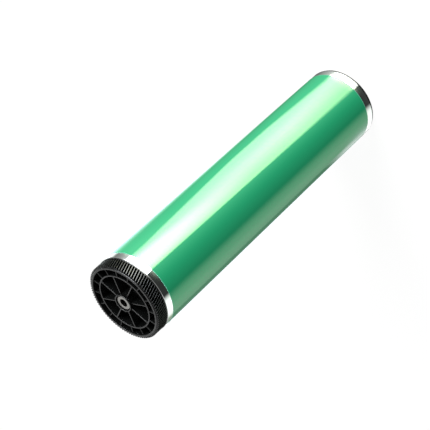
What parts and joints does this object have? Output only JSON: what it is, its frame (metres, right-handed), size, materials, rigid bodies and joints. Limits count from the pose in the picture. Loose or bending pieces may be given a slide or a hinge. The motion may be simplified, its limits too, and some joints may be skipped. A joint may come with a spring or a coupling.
{
  "type": "printer drum unit",
  "caption": "Photoconductor drum of a printer: coated aluminium tube with bare end bands, a moulded helical gear flange with ribs and a bush at one end, and a ribbed flange at the other.",
  "frame": {"origin": "on the drum's axis, in the face that it stands on, at the rear flange's lip", "axes": "+Z along the drum's axis, towards the gear flange; X and Y across it, with one rib of the gear flange on +X"},
  "size_m": [0.0804, 0.0804, 0.3561],
  "materials": {
    "tube_aluminium": "fine turned, bright",
    "green_coating": "clear gloss over green",
    "black_moulding": "moulded, low sheen",
    "bush_steel": "turned",
    "spring_steel": "rolled strip"
  },
  "bodies": {
    "root": {"drum_tube": "tube_aluminium", "photoconductor_coating": "green_coating", "gear_flange": "black_moulding", "gear_flange_bush": "bush_steel", "rear_flange": "black_moulding", "rear_flange_bush": "bush_steel", "ground_plate": "spring_steel"}
  },
  "joints": []
}
